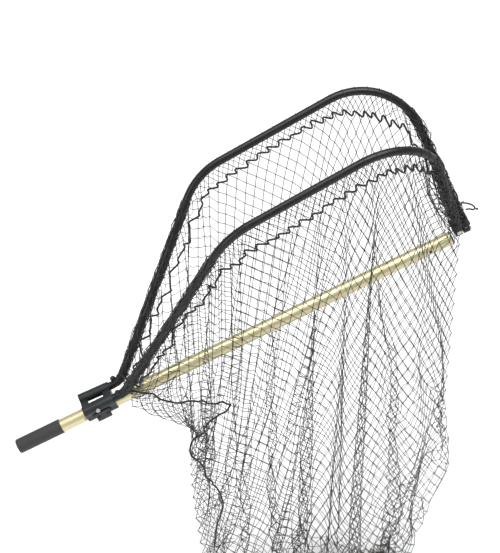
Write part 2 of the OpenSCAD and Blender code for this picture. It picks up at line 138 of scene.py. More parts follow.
# %% Round lines through points
def round_lines(runs, radius, sides):
    """Corners, faces and UVs of tubes along runs, an array (lines, points, 3)."""
    runs = np.asarray(runs, float)
    lines, points, _ = runs.shape
    along = np.gradient(runs, axis=1)
    along /= np.linalg.norm(along, axis=2, keepdims=True) + 1e-12
    first = along[:, 0]
    start = np.where(np.abs(first[:, 2:3]) > 0.8, [1.0, 0, 0], [0, 0, 1.0])
    side = np.cross(first, start)
    angle = 2 * math.pi * np.arange(sides) / sides
    rings = np.empty((lines, points, sides, 3))
    for k in range(points):
        a = along[:, k]
        side = side - (side * a).sum(1, keepdims=True) * a
        side /= np.linalg.norm(side, axis=1, keepdims=True) + 1e-12
        other = np.cross(a, side)
        ring = (side[:, None] * np.cos(angle)[None, :, None]
                + other[:, None] * np.sin(angle)[None, :, None])
        rings[:, k] = runs[:, k, None] + radius * ring
    corner = np.arange(lines * points * sides).reshape(lines, points, sides)
    after = np.roll(corner, -1, axis=2)
    walls = np.stack([corner[:, :-1], after[:, :-1], after[:, 1:], corner[:, 1:]], -1)
    ends = np.concatenate([corner[:, 0, ::-1], corner[:, -1]])
    step = np.linalg.norm(np.diff(runs, axis=1), axis=2)
    gone = np.concatenate([np.zeros((lines, 1)), np.cumsum(step, 1)], 1)
    shape = (lines, points - 1, sides)
    u0 = np.broadcast_to(np.arange(sides) / sides, shape)
    v0 = np.broadcast_to(gone[:, :-1, None], shape)
    v1 = np.broadcast_to(gone[:, 1:, None], shape)
    u1 = u0 + 1 / sides
    uv = np.stack([u0, v0, u1, v0, u1, v1, u0, v1], -1).reshape(-1, 2)
    uv = np.concatenate([uv, np.zeros((ends.size, 2))])
    return rings.reshape(-1, 3), walls.reshape(-1, 4), ends, uv


def make_piece(name, parts):
    """One mesh from several results of round_lines, or of knots below."""
    corners, faces, uvs, offset = [], [], [], 0
    for points, walls, ends, uv in parts:
        corners.append(points)
        faces += (walls + offset).tolist() + (ends + offset).tolist()
        uvs.append(uv)
        offset += len(points)
    mesh = bpy.data.meshes.new(name)
    mesh.from_pydata(np.concatenate(corners).tolist(), [], faces)
    layer = mesh.uv_layers.new(name="twist")
    layer.data.foreach_set("uv", np.concatenate(uvs).astype(np.float32).ravel())
    mesh.shade_smooth()
    mesh.update()
    piece = bpy.data.objects.new(name, mesh)
    bpy.context.scene.collection.objects.link(piece)
    print(name, "has", len(mesh.polygons), "faces")
    return piece


# %% [markdown]
# A cord that was laid by hand is smooth. This helper rounds off a short list of
# points with a Catmull-Rom curve, which passes through every one of them.

# %% A smooth line through points
def smooth_line(points, between=4):
    p = np.asarray(points, float)
    p = np.concatenate([[2 * p[0] - p[1]], p, [2 * p[-1] - p[-2]]])
    t = np.arange(between)[:, None] / between
    out = []
    for a, b, c, d in zip(p[:-3], p[1:-2], p[2:-1], p[3:]):
        out.append(0.5 * (2 * b + (c - a) * t + (2 * a - 5 * b + 4 * c - d) * t ** 2
                          + (3 * b - a - 3 * c + d) * t ** 3))
    return np.concatenate(out + [p[-2:-1]])


# %% [markdown]
# At the far end of the net the two half hoops are tied together with a short
# cord. It loops round the tip, hangs over the front and ends in a small overhand
# knot. It is a braided black cord 3.2 mm across, limp, and 57 mm long from the
# hole that it comes out of. It rides with the far hoop, which it is tied to.

# %% The tie cord at the tip
TIE_CORD_D = 3.2 * MM
TIE_ROUTE_MM = [
    (998, 0, 64), (1002, -1, 63), (1006, -2, 60), (1010, -2, 56), (1013, -2, 52),
    (1015, -2, 48), (1016, -1, 44), (1016, 0, 41), (1015, 2, 38), (1012, 3, 37),
    (1009, 3, 40), (1006, 2, 43), (1003, 1, 45), (1000, 0, 47), (998, 0, 47)]
tie_route = smooth_line([on_handle(*(MM * c for c in p)) for p in TIE_ROUTE_MM], 3)
tie_cord = make_piece("tip_tie_cord", [round_lines([tie_route], TIE_CORD_D / 2, 12)])

# %% [markdown]
# The knot is where the cord crosses through its own loop. Its line is a trefoil,
# the closed form of an overhand knot, drawn small enough that the turns of cord
# lie against each other. A knot has no corners, so many points and a smooth
# surface suit it better than any block that is carved.

# %% The knot on the tie cord
KNOT_AT = on_handle(*(MM * c for c in (1019.6, 1, 36)))
KNOT_R = 2.2 * MM
KNOT_TWINE_R = 1.05 * MM


def trefoil(centre, size, points=72):
    t = np.linspace(0, 2 * math.pi, points + 1)
    line = np.stack([np.sin(t) + 2 * np.sin(2 * t), np.cos(t) - 2 * np.cos(2 * t),
                     -np.sin(3 * t)], 1) / 3
    return centre + size * line


tie_knot = make_piece("tip_tie_knot", [
    round_lines([trefoil(KNOT_AT, KNOT_R)], KNOT_TWINE_R, 10)])
for piece in (tie_cord, tie_knot):
    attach(piece, "far_hoop")
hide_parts("tip_cord")
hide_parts("tip_cord_knot")

# %% [markdown]
# # Finishes
#
# Every finish is a few shader nodes. Two small helpers are enough: one turns a
# paint-shop hex value into the linear colour that the shader wants, and one adds
# a node with its settings, its numbers and its links in a single line.

# %% Helpers for materials
def hex_colour(code):
    """An sRGB hex value as linear red, green, blue and alpha."""
    parts = [int(code[i:i + 2], 16) / 255 for i in (1, 3, 5)]
    line = [c / 12.92 if c <= 0.04045 else ((c + 0.055) / 1.055) ** 2.4 for c in parts]
    return (*line, 1.0)


def add(material, kind, settings=None, inputs=None):
    """A shader node. An input that is a socket is linked, any other is a value."""
    made = material.node_tree.nodes.new(kind)
    for key, value in (settings or {}).items():
        setattr(made, key, value)
    for key, value in (inputs or {}).items():
        if isinstance(value, bpy.types.NodeSocket):
            material.node_tree.links.new(value, made.inputs[key])
        else:
            made.inputs[key].default_value = value
    return made


def new_material(name, surface):
    """A material with a Principled shader that has these values, and that shader."""
    material = bpy.data.materials.new(name)
    material.use_nodes = True
    shader = material.node_tree.nodes["Principled BSDF"]
    for key, value in surface.items():
        shader.inputs[key].default_value = value
    return material, shader


def feed(material, shader, **links):
    """Links sockets to the shader's own: underscores in a name stand for spaces."""
    for key, socket in links.items():
        material.node_tree.links.new(socket, shader.inputs[key.replace("_", " ")])


MIX_FACTOR, MIX_A, MIX_B, MIX_OUT = 0, 6, 7, 2    # a colour Mix node's sockets


# %% [markdown]
# ## Pale gold anodised aluminium
#
# The pole is a drawn aluminium tube. The tube is dragged through a die, which
# leaves very fine lines along it, and then it is anodised and dyed a pale gold.
# So it is a metal with a soft sheen: the colour goes in the base colour, the
# roughness is about a third, and a noise that is stretched a hundred times along
# the tube gives the lines. The noise has to be turned by the lean of the handle
# first, because the tube does not lie along any axis.

# %% The pole's finish
DRAW_LINE_MM = 0.9        # real ones are finer, and would not show at this size
gold, gold_shader = new_material("anodised_aluminium_gold", {
    "Base Color": hex_colour("#CFC79E"), "Metallic": 0.85, "Roughness": 0.33})
place = add(gold, "ShaderNodeTexCoord")
straight = add(gold, "ShaderNodeMapping", inputs={
    "Vector": place.outputs["Object"], "Rotation": (0, LEAN, 0)})
stretched = add(gold, "ShaderNodeMapping", inputs={
    "Vector": straight.outputs["Vector"], "Scale": (0.01, 1, 1)})
lines = add(gold, "ShaderNodeTexNoise", inputs={
    "Vector": stretched.outputs["Vector"], "Scale": 1 / (DRAW_LINE_MM * MM),
    "Detail": 3.0, "Roughness": 0.6})
clouds = add(gold, "ShaderNodeTexNoise", inputs={
    "Vector": straight.outputs["Vector"], "Scale": 14.0, "Detail": 2.0})
tint = add(gold, "ShaderNodeMix", {"data_type": "RGBA"}, {
    MIX_FACTOR: clouds.outputs["Fac"], MIX_A: hex_colour("#C6BE94"),
    MIX_B: hex_colour("#DAD3AE")})
dull = add(gold, "ShaderNodeMapRange", inputs={
    "Value": lines.outputs["Fac"], "To Min": 0.26, "To Max": 0.42})
ridges = add(gold, "ShaderNodeBump", inputs={
    "Height": lines.outputs["Fac"], "Strength": 0.12, "Distance": 0.05 * MM})
feed(gold, gold_shader, Base_Color=tint.outputs[MIX_OUT], Roughness=dull.outputs[0],
     Normal=ridges.outputs["Normal"])
print("gold finish: lines every", DRAW_LINE_MM, "mm")

# %% [markdown]
# ## Black anodised aluminium
#
# The hoops are thinner tubes of the same metal, dyed black. Black dye fills the
# whole oxide layer, so hardly any metal shows through, and the tube reads as a
# satin black with a grey highlight along its top. Handling polishes it in
# patches, which a broad noise in the roughness gives.

# %% The hoops' finish
black_tube, black_tube_shader = new_material("anodised_aluminium_black", {
    "Base Color": hex_colour("#0E0D0E"), "Metallic": 0.0, "IOR": 1.42})
place = add(black_tube, "ShaderNodeTexCoord")
patches = add(black_tube, "ShaderNodeTexNoise", inputs={
    "Vector": place.outputs["Object"], "Scale": 35.0, "Detail": 3.0})
grain = add(black_tube, "ShaderNodeTexNoise", inputs={
    "Vector": place.outputs["Object"], "Scale": 1 / (0.7 * MM), "Detail": 2.0})
sheen = add(black_tube, "ShaderNodeMapRange", inputs={
    "Value": patches.outputs["Fac"], "From Min": 0.3, "From Max": 0.7,
    "To Min": 0.20, "To Max": 0.34})
dye = add(black_tube, "ShaderNodeMix", {"data_type": "RGBA"}, {
    MIX_FACTOR: patches.outputs["Fac"], MIX_A: hex_colour("#0A090A"),
    MIX_B: hex_colour("#161314")})
etch = add(black_tube, "ShaderNodeBump", inputs={
    "Height": grain.outputs["Fac"], "Strength": 0.10, "Distance": 0.04 * MM})
feed(black_tube, black_tube_shader, Base_Color=dye.outputs[MIX_OUT],
     Roughness=sheen.outputs[0], Normal=etch.outputs["Normal"])

# %% [markdown]
# ## Moulded nylon
#
# The head, its bushes and the knuckles are injection moulded from glass-filled
# nylon. The mould is spark eroded, so the plastic comes out with an even, very
# fine grain, and it is a black that leans to blue. The same recipe serves four
# times, so a function makes it: for the black block, the latch's grey pull tab,
# the small gold stop button on the pole, and the bushes of white acetal.

# %% Moulded plastic finishes
def moulded_plastic(name, colour, worn, grain_mm, roughness):
    """Spark-eroded grain of this size, with a slightly lighter, handled bloom."""
    material, shader = new_material(name, {
        "Base Color": hex_colour(colour), "IOR": 1.45, "Roughness": roughness})
    place = add(material, "ShaderNodeTexCoord")
    grain = add(material, "ShaderNodeTexVoronoi", {"feature": "SMOOTH_F1"}, {
        "Vector": place.outputs["Object"], "Scale": 1 / (grain_mm * MM)})
    handled = add(material, "ShaderNodeTexNoise", inputs={
        "Vector": place.outputs["Object"], "Scale": 60.0, "Detail": 4.0})
    bloom = add(material, "ShaderNodeMapRange", inputs={
        "Value": handled.outputs["Fac"], "From Min": 0.45, "From Max": 0.75})
    tone = add(material, "ShaderNodeMix", {"data_type": "RGBA"}, {
        MIX_FACTOR: bloom.outputs[0], MIX_A: hex_colour(colour),
        MIX_B: hex_colour(worn)})
    gloss = add(material, "ShaderNodeMapRange", inputs={
        "Value": handled.outputs["Fac"], "To Min": roughness + 0.08,
        "To Max": roughness - 0.08})
    skin = add(material, "ShaderNodeBump", inputs={
        "Height": grain.outputs["Distance"], "Strength": 0.25,
        "Distance": 0.08 * MM})
    feed(material, shader, Base_Color=tone.outputs[MIX_OUT],
         Roughness=gloss.outputs[0], Normal=skin.outputs["Normal"])
    return material


block_nylon = moulded_plastic("nylon_moulded_black", "#0E1214", "#1B2124", 0.8, 0.42)
tab_nylon = moulded_plastic("nylon_moulded_grey", "#2C2B2F", "#3B393E", 0.8, 0.48)
button_nylon = moulded_plastic("nylon_moulded_gold", "#B9B184", "#CBC397", 0.8, 0.40)
bush_acetal = moulded_plastic("acetal_turned_white", "#DAD9D4", "#E8E7E3", 0.5, 0.35)

# %% [markdown]
# ## Rubber grip
#
# The grip is a sleeve of soft rubber. It is dark grey and matt, with a pebbled
# skin that keeps a wet hand from slipping. The pebbles are cells about a
# millimetre and a half across, raised a tenth of a millimetre. Rubber scatters a
# little light at its edge, which a touch of sheen gives.

# %% The grip's finish
PEBBLE_MM = 1.5
rubber, rubber_shader = new_material("rubber_grip_pebbled", {
    "Base Color": hex_colour("#242426"), "Roughness": 0.68, "IOR": 1.52,
    "Sheen Weight": 0.12, "Sheen Roughness": 0.5})
place = add(rubber, "ShaderNodeTexCoord")
pebbles = add(rubber, "ShaderNodeTexVoronoi", {"feature": "DISTANCE_TO_EDGE"}, {
    "Vector": place.outputs["Object"], "Scale": 1 / (PEBBLE_MM * MM)})
raised = add(rubber, "ShaderNodeMapRange", inputs={
    "Value": pebbles.outputs["Distance"], "From Max": 0.25})
dust = add(rubber, "ShaderNodeTexNoise", inputs={
    "Vector": place.outputs["Object"], "Scale": 30.0, "Detail": 5.0})
shade = add(rubber, "ShaderNodeMix", {"data_type": "RGBA"}, {
    MIX_FACTOR: dust.outputs["Fac"], MIX_A: hex_colour("#1D1D1F"),
    MIX_B: hex_colour("#2A2A2C")})
skin = add(rubber, "ShaderNodeBump", inputs={
    "Height": raised.outputs[0], "Strength": 0.45, "Distance": 0.12 * MM})
feed(rubber, rubber_shader, Base_Color=shade.outputs[MIX_OUT],
     Normal=skin.outputs["Normal"])

# %% [markdown]
# ## Zinc-plated steel
#
# The screws, rivets, pins and springs are steel with a bright zinc plate. Zinc
# goes down as fine crystals and soon turns a little cloudy, so the metal is a
# light warm grey with a roughness that wanders.

# %% The steel's finish
zinc, zinc_shader = new_material("steel_zinc_plated", {
    "Base Color": hex_colour("#B9B8B1"), "Metallic": 1.0, "Roughness": 0.3})
place = add(zinc, "ShaderNodeTexCoord")
spangle = add(zinc, "ShaderNodeTexVoronoi", inputs={
    "Vector": place.outputs["Object"], "Scale": 1 / (0.9 * MM)})
cloudy = add(zinc, "ShaderNodeMapRange", inputs={
    "Value": spangle.outputs["Distance"], "To Min": 0.22, "To Max": 0.42})
plate = add(zinc, "ShaderNodeMix", {"data_type": "RGBA"}, {
    MIX_FACTOR: spangle.outputs["Distance"], MIX_A: hex_colour("#C4C3BC"),
    MIX_B: hex_colour("#9F9E98")})
feed(zinc, zinc_shader, Base_Color=plate.outputs[MIX_OUT], Roughness=cloudy.outputs[0])

# %% [markdown]
# The two guide pins of the latch are chemically blackened, so that they do not
# show against the tab. Black oxide is thin: the steel stays a dark metal with a
# slight brown cast where the oil has dried.

# %% The blackened pins' finish
black_steel, black_steel_shader = new_material("steel_black_oxide", {
    "Base Color": hex_colour("#2A2827"), "Metallic": 0.8, "Roughness": 0.4})
place = add(black_steel, "ShaderNodeTexCoord")
oil = add(black_steel, "ShaderNodeTexNoise", inputs={
    "Vector": place.outputs["Object"], "Scale": 1 / (3 * MM), "Detail": 3.0})
stain = add(black_steel, "ShaderNodeMix", {"data_type": "RGBA"}, {
    MIX_FACTOR: oil.outputs["Fac"], MIX_A: hex_colour("#1F1E1E"),
    MIX_B: hex_colour("#37332F")})
feed(black_steel, black_steel_shader, Base_Color=stain.outputs[MIX_OUT])

# %% [markdown]
# ## Twine and cord
#
# Netting twine is three strands of black nylon laid round each other. The UV map
# of each line counts turns round it and metres along it, so a stripe across both
# is a strand that spirals. The strands go once round in between two and three
# diameters of the twine. Nylon yarn has a faint sheen. The crowns of the strands
# get a paler colour in patches, a painted highlight, and the grooves between them
# keep the darker colour as painted shade. The same recipe makes a darker copy of
# the netting twine, painted shade for the gathers and the lacing round the tubes,
# as well as the rope in the hem and the braided cord, where two stripes that cross
# each other give the plait.

# %% Twine finishes
def laid_yarn(name, colour, light, lay_mm, strands, braided, roughness):
    """Strands that spiral along the UV map, once round in lay_mm millimetres."""
    material, shader = new_material(name, {
        "Base Color": hex_colour(colour), "Roughness": roughness, "IOR": 1.53,
        "Sheen Weight": 0.12, "Sheen Roughness": 0.4})
    uv = add(material, "ShaderNodeUVMap", {"uv_map": "twist"})
    turns = []
    for way in ((1, -1) if braided else (1,)):
        wound = add(material, "ShaderNodeMapping", inputs={
            "Vector": uv.outputs["UV"], "Scale": (way * strands, 1 / (lay_mm * MM), 1)})
        parts = add(material, "ShaderNodeSeparateXYZ", inputs={
            "Vector": wound.outputs["Vector"]})
        both = add(material, "ShaderNodeMath", {"operation": "ADD"}, {
            0: parts.outputs["X"], 1: parts.outputs["Y"]})
        turns.append(add(material, "ShaderNodeMath", {"operation": "PINGPONG"}, {
            0: both.outputs[0], 1: 0.5}).outputs[0])
    height = turns[0]
    if braided:
        height = add(material, "ShaderNodeMath", {"operation": "MULTIPLY"}, {
            0: turns[0], 1: turns[1]}).outputs[0]
    strand = add(material, "ShaderNodeMapRange", inputs={
        "Value": height, "From Max": 0.25 if braided else 0.5})
    # Paler colour on the crowns of the strands, in patches: a painted highlight, with
    # painted shade left in the grooves between them.
    place = add(material, "ShaderNodeTexCoord")
    highlight_patches = add(material, "ShaderNodeTexNoise", inputs={
        "Vector": place.outputs["Object"], "Scale": 12.0, "Detail": 3.0})
    crown_highlight_mask = add(material, "ShaderNodeMath", {"operation": "MULTIPLY"}, {
        0: strand.outputs[0], 1: highlight_patches.outputs["Fac"]})
    tone = add(material, "ShaderNodeMix", {"data_type": "RGBA"}, {
        MIX_FACTOR: crown_highlight_mask.outputs[0], MIX_A: hex_colour(colour),
        MIX_B: hex_colour(light)})
    lay = add(material, "ShaderNodeBump", inputs={
        "Height": strand.outputs[0], "Strength": 0.6, "Distance": 0.2 * MM})
    feed(material, shader, Base_Color=tone.outputs[MIX_OUT],
         Normal=lay.outputs["Normal"])
    return material


TWINE_D = 1.4 * MM
ROPE_D = 4.0 * MM
net_twine = laid_yarn("nylon_netting_twine", "#161618", "#2E2E33", 3.5, 3, False, 0.55)
# A darker copy of the netting twine: painted shade for the dense gathers and the lacing
# round the tubes.
shaded_netting_twine = laid_yarn("nylon_netting_twine_painted_shade", "#0A0A0C", "#1C1C20", 3.5, 3, False,
                           0.60)
hem_rope = laid_yarn("nylon_laid_rope", "#0C0C0E", "#232328", 9.0, 3, False, 0.60)
braid = laid_yarn("nylon_braided_cord", "#0E0E10", "#262629", 7.0, 4, True, 0.60)
for piece in (tie_cord, tie_knot):
    piece.data.materials.append(braid)

# %% [markdown]
# Each finish is now put on the parts that have it. A part of the frame keeps its
# mesh, and only its material slot changes.

# %% Put the finishes on the hard parts
FINISH_OF_PARTS = {
    gold: ["pole"],
    black_tube: ["near_hoop_tube", "far_hoop_tube"],
    rubber: ["grip"],
    block_nylon: ["head_block", "near_barrel_bush", "far_barrel_bush", "near_arm_stop",
                  "far_arm_stop", "near_tip_knuckle", "far_tip_knuckle", "pole_end_plug"],
    tab_nylon: ["latch_tab"],
    button_nylon: ["stop_button"],
    bush_acetal: ["sleeve_bushes"],
    black_steel: ["latch_guide_pins"],
    zinc: ["stop_button_spring", "barrel_screws", "lock_pin", "latch_springs",
           "near_tip_rivet", "far_tip_rivet", "tip_pin"],
}
for material, names in FINISH_OF_PARTS.items():
    for name in names:
        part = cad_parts[name]
        if not part.material_slots:
            part.data.materials.append(None)
        for slot in part.material_slots:
            slot.link = "OBJECT"
            slot.material = material
print("finishes on", sum(map(len, FINISH_OF_PARTS.values())), "parts")

# %% [markdown]
# # The half hoops' lines
#
# The netting is laced to the tubes, so the line of each tube is needed. In the
# hoop's own plane it is a straight root, three bends and the end at the tip. The
# bends are filled in as arcs, and the line is then cut into equal steps, so that
# a place on the rim can be given as a length along the tube.

# %% Lines of the two half hoops
ROOT_LENGTH = 0.056
REAR_CORNER = (0.361, 0.322)
FRONT_CORNER = (0.780, 0.363)
TUBE_END_UP = 0.006
BOWS_APART = 0.0085
BEND_RADII = (0.045, 0.138, 0.130)
STEP = 0.004


def hoop_axes(side):
    """Along the hinge line, and away from it in the half hoop's own plane."""
    along = unit(TIP - HINGE[side])
    out = np.array([0, side, 0.0])
    up = unit(np.cross(along, out))
    up = up if up[2] > 0 else -up
    out = unit(np.cross(up, along))
    out = out if out[1] * side > 0 else -out
    return along, up * math.cos(FOLD) + out * math.sin(FOLD)


def rounded(corners, radii):
    """A line through corners, with each inner corner rounded to its radius."""
    p = [np.array(c, float) for c in corners]
    line = [p[0]]
    for q, s, e, r in zip(p[1:-1], p[:-2], p[2:], radii):
        u, v = unit(q - s), unit(e - q)
        turn = math.atan2(u[0] * v[1] - u[1] * v[0], u @ v)
        start = q - u * r * math.tan(abs(turn) / 2)
        inward = np.array([-u[1], u[0]]) * math.copysign(1, turn)
        middle = start + inward * r
        for t in np.linspace(0, turn, max(4, int(abs(turn) * r / STEP)) + 1):
            c, n = math.cos(t), math.sin(t)
            line.append(middle - r * np.array([inward[0] * c - inward[1] * n,
                                               inward[0] * n + inward[1] * c]))
    return np.array(line + [p[-1]])


def hoop_line(side):
    """Lengths along the tube's middle, and the points there."""
    along, away = hoop_axes(side)
    reach = np.linalg.norm(TIP - HINGE[side])
    dx = side * BOWS_APART
    flat = rounded([(-0.029, 0), (ROOT_LENGTH, 0), REAR_CORNER,
                    (FRONT_CORNER[0] + dx, FRONT_CORNER[1]), (reach + dx, TUBE_END_UP)],
                   BEND_RADII)
    gone = np.concatenate([[0], np.cumsum(np.linalg.norm(np.diff(flat, axis=0), axis=1))])
    lengths = np.linspace(0, gone[-1], int(gone[-1] / STEP))
    flat = np.stack([np.interp(lengths, gone, flat[:, k]) for k in (0, 1)], 1)
    return lengths, HINGE[side] + flat[:, :1] * along + flat[:, 1:] * away


TUBE_LINE = {s: hoop_line(s) for s in (NEAR, FAR)}


def on_tube(side, length):
    """The points of a tube's middle at these lengths along it."""
    lengths, points = TUBE_LINE[side]
    return np.stack([np.interp(length, lengths, points[:, k]) for k in range(3)], -1)


for s in (NEAR, FAR):
    print(SIDE_NAME[s], "hoop tube is", round(float(TUBE_LINE[s][0][-1]), 3), "m long")

# %% [markdown]
# # The netting
#
# The bag is knotted netting: rows of diamond meshes, each bar 21 mm from knot to
# knot. It is laced to the tubes along its first row, and the near and far sides
# meet in a seam at the rear, at the front and along the bottom. Every bar of a
# mesh is cut to the same length, so the netting can be hung by a small calculation
# that pulls stretched bars back while gravity acts on the knots. Blender's own
# cloth has no settings for an open lattice with knots, and this is quick.
#
# First the knots are counted out, row by row. Every second row is shifted half
# a mesh. Knots at the two seams belong to both sides.

# %% Count out the knots of the netting
BAR = 0.021
MESHES_ALONG = 42
ROW_DROP = 0.0168
MOST_ROWS = 72
BAG_BOTTOM = -0.505
RIM_FROM, RIM_SHORT_OF_TIP = 0.087, 0.012     # the laced stretch of each tube
ARM_TO, SHOULDER_LENGTH, BOW_LENGTH = 0.485, 0.40, 0.25
ARM_CROWD, SHOULDER_CROWD, BOW_CROWD = 0.92, 1.05, 0.62
SPARE_ROWS, FEWER_IN_FRONT, MORE_AT_REAR = 2.5, 4, 13
rng = np.random.default_rng(3)


def rim_spacing(side):
    """Lengths along a tube for rim fractions: meshes are closer where gathered."""
    whole = TUBE_LINE[side][0][-1]
    spots = np.linspace(RIM_FROM, whole - RIM_SHORT_OF_TIP, 400)
    crowd = np.ones_like(spots)
    crowd[spots < ARM_TO] = ARM_CROWD
    crowd[spots > whole - SHOULDER_LENGTH] = SHOULDER_CROWD
    crowd[spots > whole - BOW_LENGTH] = BOW_CROWD
    crowd = np.convolve(np.pad(crowd, 12, "edge"), np.ones(25) / 25, "valid")
    share = np.concatenate([[0], np.cumsum(crowd[:-1])])
    return share / share[-1], spots


SPACING = {s: rim_spacing(s) for s in (NEAR, FAR)}


def on_rim(side, t):
    """A point of the rim, where t runs from 0 at the rear to 1 at the tip."""
    return on_tube(side, np.interp(t, *SPACING[side]))


def fraction(row, column):
    return (column + 0.5) / MESHES_ALONG if row % 2 == 0 else column / MESHES_ALONG


def rows_at(t):
    """Rows from the rim down to the bottom of the bag."""
    height = 0.5 * (on_rim(NEAR, t)[2] + on_rim(FAR, t)[2]) - BAG_BOTTOM
    return min(MOST_ROWS, int(height / ROW_DROP + SPARE_ROWS - FEWER_IN_FRONT * t ** 6
                              + MORE_AT_REAR * (1 - t) ** 2))


def below(row, column):
    """The two knots of the next row that bars of this knot run down to."""
    first = column if row % 2 == 0 else column - 1
    width = MESHES_ALONG + (row + 1) % 2
    return [(row + 1, c) for c in (first, first + 1) if 0 <= c < width]


def there(row, column):
    t = fraction(row, column)
    return 0 <= t <= 1 and row <= rows_at(t)


knot_of, knots, knot_side, knot_row, knot_t, knot_shared = {}, [], [], [], [], []
for side in (NEAR, FAR):
    for row in range(MOST_ROWS + 1):
        for column in range(MESHES_ALONG + row % 2):
            if not there(row, column):
                continue
            t = fraction(row, column)
            shared = (t in (0, 1)) or not all(there(*k) for k in below(row, column))
            key = (0 if shared else side, row, column)
            if key not in knot_of:
                knot_of[key] = len(knots)
                rim, drop = on_rim(side, t), row * ROW_DROP
                slant = min(drop, 0.17 * (1 - t) + 0.02)
                at = rim + np.array([slant * (0.84 if t < 0.75 else 0.168), 0,
                                     0.46 * slant - drop])
                if shared:
                    at[1] = rng.normal(0, 0.003)
                else:
                    at[1] = rim[1] * (1 - 0.25 * row / rows_at(t)) + rng.normal(0, 0.004)
                knots.append(at)
                knot_side.append(side)
                knot_row.append(row)
                knot_t.append(t)
                knot_shared.append(shared)
            knot_of[(side, row, column)] = knot_of[key]
knots = np.array(knots)
knot_side, knot_row = np.array(knot_side), np.array(knot_row)
knot_t, knot_shared = np.array(knot_t), np.array(knot_shared)


def pairs_of(reach):
    """Pairs of knots, each side's own, that reach(row, column) says are joined."""
    found = set()
    for (side, row, column), i in knot_of.items():
        if side:
            for k in reach(row, column):
                j = knot_of.get((side, *k))
                if j is not None and j != i:
                    found.add((min(i, j), max(i, j)))
    return np.array(sorted(found))


bars = pairs_of(below)
across = pairs_of(lambda row, column: [(row, column + 1)])
upright = pairs_of(lambda row, column: [(row + 2, column)])
print("netting:", len(knots), "knots and", len(bars), "bars")

# %% [markdown]
# Now the netting is let go. Each step, gravity speeds the knots up a little, and
# then every bar that has become too long pulls its two knots together. A bar may
# go slack, but only slightly, because stiff new twine holds its meshes open; two
# weak struts across each mesh do the same. The pole, the floor of the bag and the
# plane between the two sides push knots out of the way. The rear and front seams
# and the greatest width are guided by set lines, so the outline of the bag is
# chosen and only its folds are found. Five hundred steps let the folds form. They
# don't bring every bar back: the print gives the shortest and the longest.

# %% Hang the netting
STEPS, ROUNDS = 500, 10
TIME_STEP, GRAVITY = 0.012, 0.4
STRAIGHT, SLACK = 1.0, 0.93          # a bar's shortest length, of its own length
OPEN_ACROSS, OPEN_UPRIGHT, OPEN_PULL = 1.1, 0.8, 0.15
OVER_RELAXED = 2.88                  # for fewer rounds
KEEPS_SPEED, TOP_SPEED = 0.985, 1.5
WIDEST, LOWEST = 0.139, -0.515
SEAM_PULL, SEAM_NARROWS = 0.3, 0.9   # how firmly the seams keep to their lines
# the rear of the bag: heights, and how far forward the seam hangs at each
REAR_Z = [-0.5, -0.215, -0.144, -0.052, 0.035, 0.1]
REAR_X = [0.33, 0.305, 0.3025, 0.318, 0.183, 0.17]
FRONT_X, FRONT_SLANT, FRONT_MOST = 0.863, 0.012, 0.870
FRONT_TOP, FRONT_FALL = 0.338, 0.84


def pull_together(at, ends, shortest, longest, strength):
    """How far each knot moves so that these pairs come back into their range."""
    i, j = ends.T
    gap = at[j] - at[i]
    size = np.linalg.norm(gap, axis=1) + 1e-12
    wrong = np.where(size > longest, size - longest,
                     np.where(size < shortest, strength * (size - shortest), 0))
    move = (wrong / size)[:, None] * gap * 0.5
    return np.stack([np.bincount(i, part, len(at)) - np.bincount(j, part, len(at))
                     for part in move.T], 1)


def push_out_of_pole(at, start, end, radius):
    axis = unit(end - start)
    along = np.clip((at - start) @ axis, 0, np.linalg.norm(end - start))
    spot = start + along[:, None] * axis
    away = at - spot
    size = np.linalg.norm(away, axis=1, keepdims=True) + 1e-12
    return np.where(size < radius, spot + away / size * radius, at)


def hang(at):
    free = (knot_row > 0)[:, None].astype(float)
    joined = np.bincount(bars.ravel(), minlength=len(at))
    share = OVER_RELAXED / joined[:, None]
    rear = np.where(knot_shared & (knot_t < 0.001))[0]
    front = np.where(knot_shared & (knot_t > 0.999))[0]
    own = (~knot_shared) & (knot_row > 0)
    pole_from, pole_to = on_handle(0.214, 0, 0), on_handle(0.953, 0, 0)
    speed = np.zeros_like(at)
    for _ in range(STEPS):
        before = at.copy()
        speed[:, 2] -= GRAVITY * TIME_STEP
        at = at + speed * TIME_STEP * free
        for turn in range(ROUNDS):
            pull = pull_together(at, bars, SLACK * BAR, STRAIGHT * BAR, 0.5)
            at = at + pull * share * free
            if turn % 2 == 0:
                for ends, least in ((across, OPEN_ACROSS), (upright, OPEN_UPRIGHT)):
                    at = at + free * pull_together(at, ends, least * BAR, 9, OPEN_PULL)
        clear = push_out_of_pole(at, pole_from, pole_to, POLE_R + 1.5 * MM)
        at = np.where(free > 0, clear, at)
        inner = knot_side[own] * np.maximum(at[own, 1] * knot_side[own], 0.001)
        at[own, 1] = np.where(np.abs(inner) > WIDEST, np.sign(inner) * WIDEST, inner)
        at[:, 2] = np.maximum(at[:, 2], LOWEST)
        wall = np.interp(at[:, 2], REAR_Z, REAR_X)
        at[:, 0] = np.where(free[:, 0] > 0, np.maximum(at[:, 0], wall), at[:, 0])
        fallen = np.clip((FRONT_TOP - at[front, 2]) / FRONT_FALL, 0, 1)
        lean = FRONT_X - FRONT_SLANT * fallen
        at[front, 0] += SEAM_PULL * (lean - at[front, 0]) * free[front, 0]
        at[front, 1] *= SEAM_NARROWS
        at[:, 0] = np.minimum(at[:, 0], FRONT_MOST)
        at[rear, 0] += SEAM_PULL * (wall[rear] + 2 * MM - at[rear, 0]) * free[rear, 0]
        speed = (at - before) / TIME_STEP * KEEPS_SPEED
        fast = np.linalg.norm(speed, axis=1, keepdims=True)
        speed *= np.minimum(1, TOP_SPEED / np.maximum(fast, 1e-9))
    return at


knots = hang(knots)
stretch = np.linalg.norm(knots[bars[:, 1]] - knots[bars[:, 0]], axis=1) / BAR
print("bars are", stretch.min().round(2), "to", stretch.max().round(2), "of their length")
print("netting spans", knots.min(0).round(3), knots.max(0).round(3))

